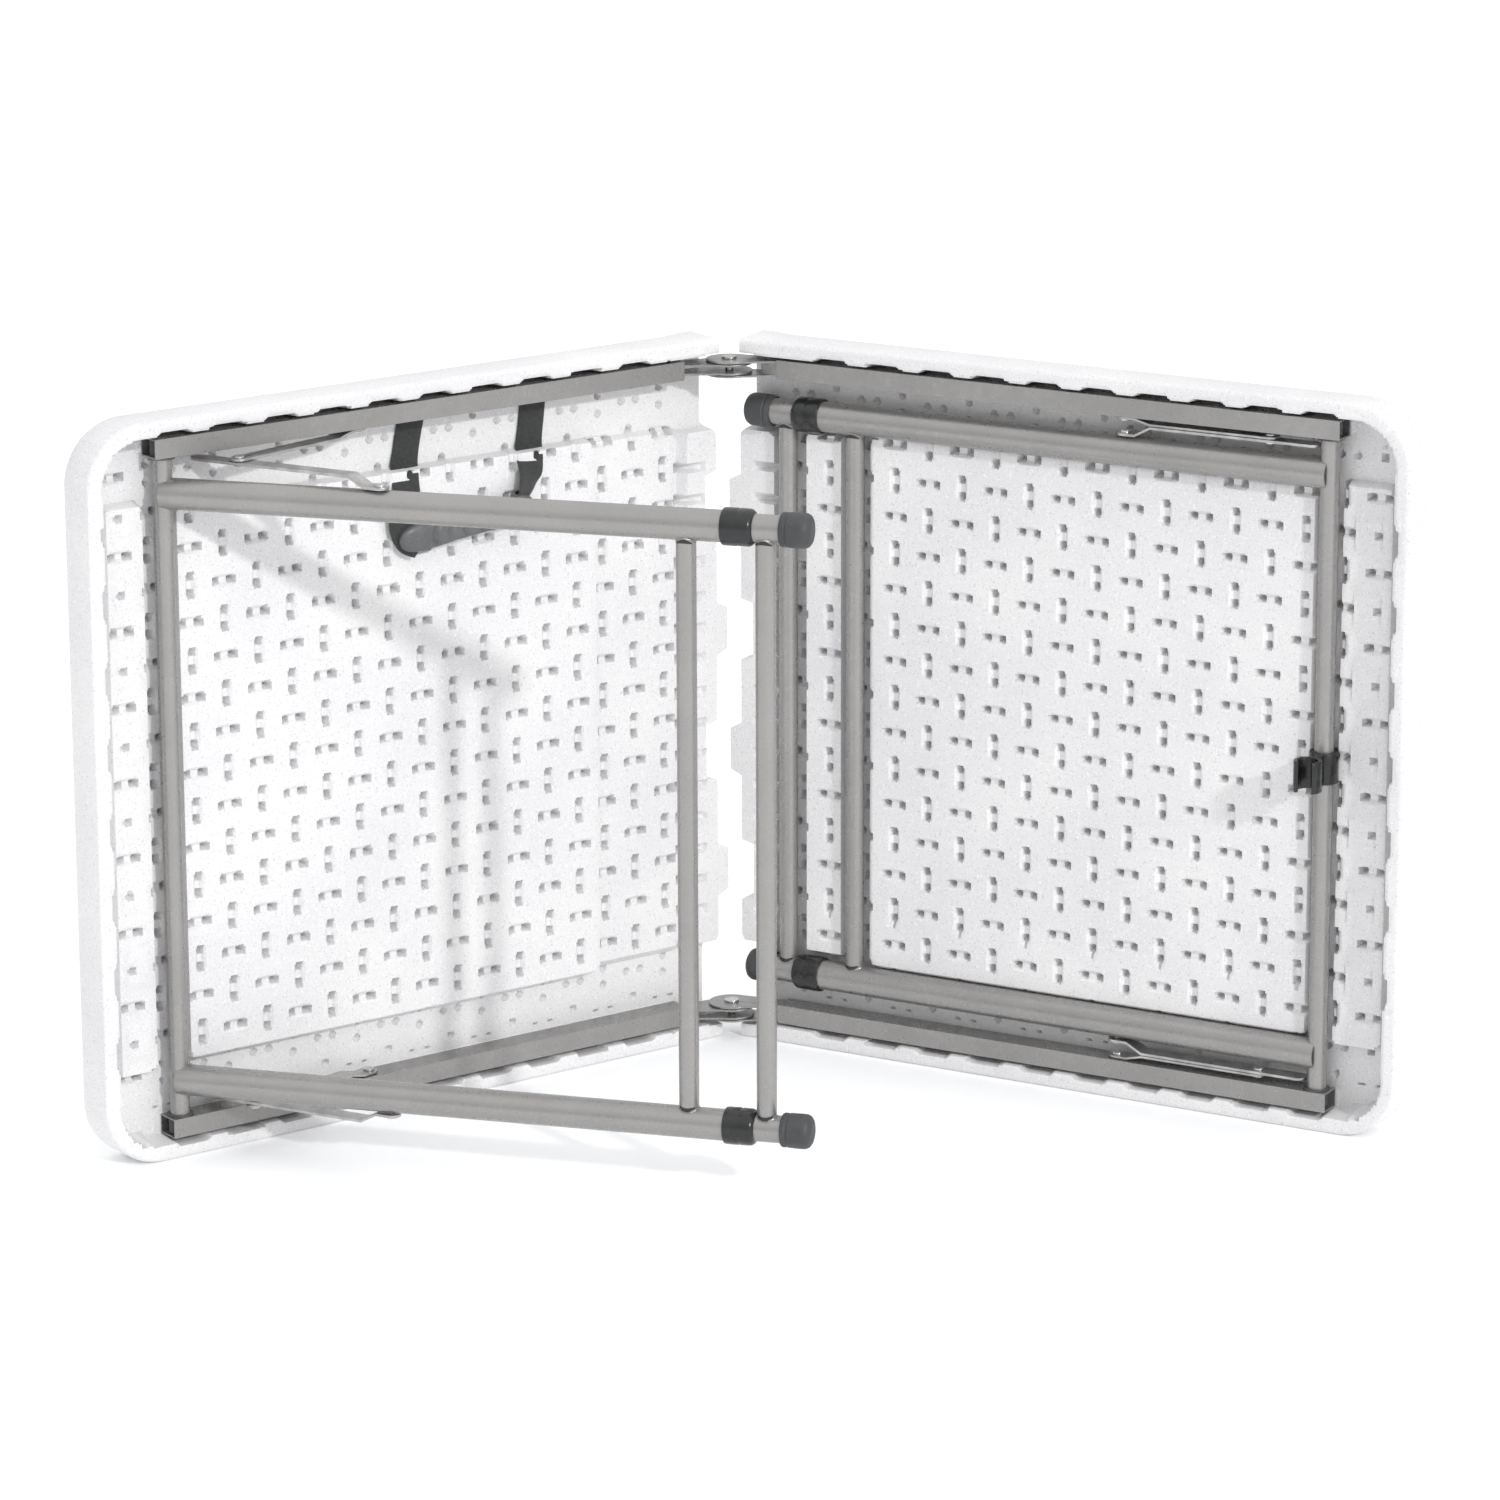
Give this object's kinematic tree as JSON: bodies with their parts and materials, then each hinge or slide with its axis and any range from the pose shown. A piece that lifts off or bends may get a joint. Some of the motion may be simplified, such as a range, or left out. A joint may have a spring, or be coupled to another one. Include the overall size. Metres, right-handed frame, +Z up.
{
  "type": "folding table",
  "caption": "Fold-in-half moulded table on telescopic folding leg frames, stood half open on its long edge, with carry handle and latch.",
  "frame": {"origin": "middle of the floor rectangle under the half-open table, at floor height", "axes": "+Z up along the fold axis, +X across the two halves, -Y out of the open side"},
  "size_m": [1.0806, 0.5027, 0.61],
  "materials": {
    "moulded_panel": "fine pebbled texture with grey speckle",
    "frame_paint": "satin powder coat",
    "hinge_steel": "satin powder coat, worn at the discs",
    "brace_steel": "satin zinc plate",
    "zinc_steel": "bright zinc plate",
    "black_plastic": "fine grained",
    "latch_plastic": "satin moulded",
    "grip_plastic": "satin moulded",
    "webbing": "woven webbing",
    "nylon": "smooth"
  },
  "bodies": {
    "left_half": {"left_deck": "moulded_panel", "left_raised_fields": "moulded_panel", "left_skirt": "moulded_panel", "left_rail_bottom": "frame_paint", "left_rail_top": "frame_paint", "left_hinge_bracket_bottom": "hinge_steel", "left_hinge_bracket_top": "hinge_steel", "handle_anchors": "webbing"},
    "hinge_pins": {"hinge_pins": "zinc_steel"},
    "hinge_washers": {"hinge_washers": "nylon"},
    "right_half": {"right_deck": "moulded_panel", "right_raised_fields": "moulded_panel", "right_skirt": "moulded_panel", "right_rail_bottom": "frame_paint", "right_rail_top": "frame_paint", "right_hinge_bracket_bottom": "hinge_steel", "right_hinge_bracket_top": "hinge_steel", "right_pivot_bushes": "nylon", "right_rail_rivets": "zinc_steel"},
    "handle": {"handle_straps": "webbing", "handle_grip": "grip_plastic"},
    "latch": {"latch": "latch_plastic"},
    "left_pivot_bushes": {"left_pivot_bushes": "nylon", "left_pivot_tube": "frame_paint"},
    "left_rail_rivets": {"left_rail_rivets": "zinc_steel"},
    "left_apex_rivets": {"left_apex_rivets": "zinc_steel"},
    "left_leg_frame": {"left_upper_leg_bottom": "frame_paint", "left_upper_leg_top": "frame_paint", "left_brace_tube": "frame_paint", "left_collars": "black_plastic", "left_leg_rivets": "zinc_steel"},
    "left_lower_legs": {"left_lower_leg_bottom": "frame_paint", "left_lower_leg_top": "frame_paint", "left_lower_crossbar": "frame_paint", "left_guide_plugs": "nylon", "left_foot_caps": "black_plastic"},
    "left_rail_arms": {"left_rail_arm_bottom": "brace_steel", "left_rail_arm_top": "brace_steel"},
    "left_leg_arms": {"left_leg_arm_bottom": "brace_steel", "left_leg_arm_top": "brace_steel", "left_arm_studs": "zinc_steel"},
    "right_leg_frame": {"right_pivot_tube": "frame_paint", "right_upper_leg_bottom": "frame_paint", "right_upper_leg_top": "frame_paint", "right_brace_tube": "frame_paint", "right_collars": "black_plastic", "right_leg_rivets": "zinc_steel"},
    "right_lower_legs": {"right_lower_leg_bottom": "frame_paint", "right_lower_leg_top": "frame_paint", "right_lower_crossbar": "frame_paint", "right_guide_plugs": "nylon", "right_foot_caps": "black_plastic"},
    "right_rail_arms": {"right_rail_arm_bottom": "brace_steel", "right_rail_arm_top": "brace_steel", "right_apex_rivets": "zinc_steel"},
    "right_leg_arms": {"right_leg_arm_bottom": "brace_steel", "right_leg_arm_top": "brace_steel", "right_arm_studs": "zinc_steel"}
  },
  "joints": [
    {"name": "fold_first_third", "type": "hinge", "parent": "left_half", "child": "hinge_pins", "pos_m": [0, 0.20776, 0.305], "axis": [0, 0, 1], "range_deg": [-38.33, 21.67]},
    {"name": "fold_second_third", "type": "hinge", "parent": "hinge_pins", "child": "hinge_washers", "pos_m": [0, 0.20776, 0.305], "axis": [0, 0, 1], "range_deg": [-38.33, 21.67]},
    {"name": "fold_last_third", "type": "hinge", "parent": "hinge_washers", "child": "right_half", "pos_m": [0, 0.20776, 0.305], "axis": [0, 0, 1], "range_deg": [-38.33, 21.67]},
    {"name": "left_leg_fold", "type": "hinge", "parent": "left_half", "child": "left_pivot_bushes", "pos_m": [-0.46403, -0.06889, 0.305], "axis": [0, 0, -1], "range_deg": [-51.2, 0]},
    {"name": "left_leg_open", "type": "hinge", "parent": "left_pivot_bushes", "child": "left_leg_frame", "pos_m": [-0.46403, -0.06889, 0.305], "axis": [0, 0, -1], "range_deg": [0, 38.81]},
    {"name": "right_leg", "type": "hinge", "parent": "right_half", "child": "right_leg_frame", "pos_m": [0.46403, -0.06889, 0.305], "axis": [0, 0, 1], "range_deg": [0, 90]},
    {"name": "left_rail_rivet_turn", "type": "hinge", "parent": "left_half", "child": "left_rail_rivets", "pos_m": [-0.31137, 0.02837, 0.305], "axis": [0, 0, 1], "range_deg": [-11.83, 0]},
    {"name": "left_rail_arm_turn", "type": "hinge", "parent": "left_rail_rivets", "child": "left_rail_arms", "pos_m": [-0.31137, 0.02837, 0.305], "axis": [0, 0, 1], "range_deg": [0, 27.15]},
    {"name": "left_apex_turn", "type": "hinge", "parent": "left_rail_arms", "child": "left_apex_rivets", "pos_m": [-0.40345, -0.06155, 0.305], "axis": [0, 0, -1], "range_deg": [-74.85, 0]},
    {"name": "left_leg_arm_turn", "type": "hinge", "parent": "left_apex_rivets", "child": "left_leg_arms", "pos_m": [-0.40345, -0.06155, 0.305], "axis": [0, 0, -1], "range_deg": [0, 93.09]},
    {"name": "right_rail_arm_turn", "type": "hinge", "parent": "right_half", "child": "right_rail_arms", "pos_m": [0.31137, 0.02837, 0.305], "axis": [0, 0, -1], "range_deg": [0, 38.97]},
    {"name": "right_leg_arm_turn", "type": "hinge", "parent": "right_rail_arms", "child": "right_leg_arms", "pos_m": [0.41992, -0.04078, 0.305], "axis": [0, 0, 1], "range_deg": [0, 167.94]},
    {"name": "left_leg_extend", "type": "slide", "parent": "left_leg_frame", "child": "left_lower_legs", "axis": [0.9472, -0.3206, 0], "range_m": [0, 0.15]},
    {"name": "right_leg_extend", "type": "slide", "parent": "right_leg_frame", "child": "right_lower_legs", "axis": [-0.8434, 0.5373, 0], "range_m": [0, 0.1501]},
    {"name": "handle_swing", "type": "hinge", "parent": "left_half", "child": "handle", "pos_m": [-0.22565, 0.08179, 0.5765], "axis": [0.8434, 0.5373, 0], "range_deg": [-180, 0]},
    {"name": "latch_swivel", "type": "hinge", "parent": "right_half", "child": "latch", "pos_m": [0.46403, -0.06889, 0.306], "axis": [0, 0, -1], "range_deg": [0, 60]}
  ],
  "couplings": [
    {"joint": "left_leg_open", "follows": "right_leg", "ratio": 0.43111},
    {"joint": "right_leg_extend", "follows": "right_leg", "m_per_rad": 0.095493},
    {"joint": "left_rail_rivet_turn", "follows": "left_leg_fold", "ratio": 0.23089},
    {"joint": "left_apex_turn", "follows": "left_leg_fold", "ratio": 1.4618},
    {"joint": "left_rail_arm_turn", "follows": "right_leg", "ratio": 0.30158},
    {"joint": "left_leg_arm_turn", "follows": "right_leg", "ratio": 1.0343},
    {"joint": "right_rail_arm_turn", "follows": "right_leg", "ratio": 0.43293},
    {"joint": "right_leg_arm_turn", "follows": "right_leg", "ratio": 1.8659}
  ]
}
